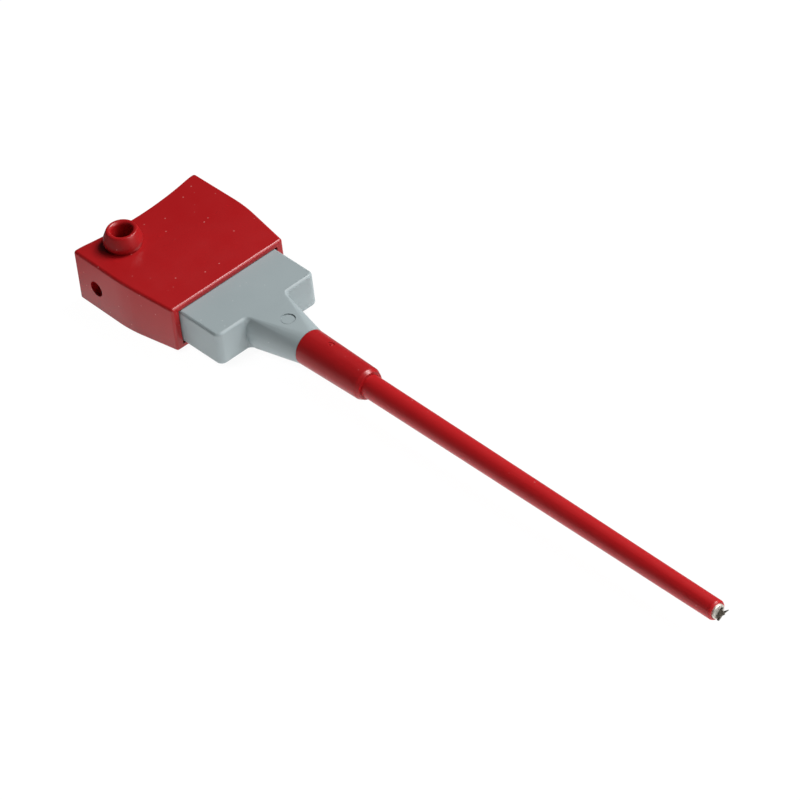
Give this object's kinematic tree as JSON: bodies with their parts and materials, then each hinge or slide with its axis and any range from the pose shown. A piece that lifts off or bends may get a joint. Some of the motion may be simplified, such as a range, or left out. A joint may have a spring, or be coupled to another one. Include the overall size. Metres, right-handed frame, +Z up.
{
  "type": "grabber test hook",
  "caption": "Long spring-loaded test probe: a thumb cap with a plug socket slides on a T-shaped finger grip and pushes crossing steel claws out of an insulated shaft.",
  "frame": {"origin": "on the ground under the middle of the whole length, the probe lying on the flat side of its cap", "axes": "+X along the shaft from the thumb cap to the claws, +Z up out of the plug socket, +Y to the side away from the socket"},
  "size_m": [0.1575, 0.0308, 0.0152],
  "materials": {
    "red_plastic": "moulded, satin gloss",
    "grey_plastic": "moulded, satin",
    "white_plastic": "extruded",
    "brass": "turned",
    "steel": "drawn",
    "nickel": "nickel plated",
    "claw_steel": "dark spring steel"
  },
  "bodies": {
    "grip": {"finger_grip": "grey_plastic", "collar": "red_plastic", "shaft_tube": "red_plastic", "inner_liner": "white_plastic", "tip_sleeve": "nickel", "guide_bush": "brass", "front_washer": "steel", "return_spring": "steel"},
    "plunger": {"thumb_cap": "red_plastic", "socket_sleeve": "brass", "contact_strap": "brass", "rod_anchor": "brass", "rear_washer": "steel", "drive_rod": "steel", "wire_crimp": "brass", "drive_wire": "steel", "claw_ferrule": "nickel"},
    "near_claw": {"claw_near": "claw_steel"},
    "far_claw": {"claw_far": "claw_steel"}
  },
  "joints": [
    {"name": "cap_push", "type": "slide", "parent": "grip", "child": "plunger", "axis": [1, 0, 0], "range_m": [0, 0.008], "stiffness_N_per_m": 300, "springref_m": -0.004, "deforming": ["return_spring"]},
    {"name": "near_claw_spread", "type": "hinge", "parent": "plunger", "child": "near_claw", "pos_m": [0.06775, -0.0002, 0.00563], "axis": [0, 0.6428, -0.766], "range_deg": [0, 8.4]},
    {"name": "far_claw_spread", "type": "hinge", "parent": "plunger", "child": "far_claw", "pos_m": [0.06775, 0.0002, 0.00597], "axis": [0, -0.6428, 0.766], "range_deg": [0, 8.4]}
  ],
  "couplings": [
    {"joint": "near_claw_spread", "follows": "cap_push", "rad_per_m": 18},
    {"joint": "far_claw_spread", "follows": "cap_push", "rad_per_m": 18}
  ]
}
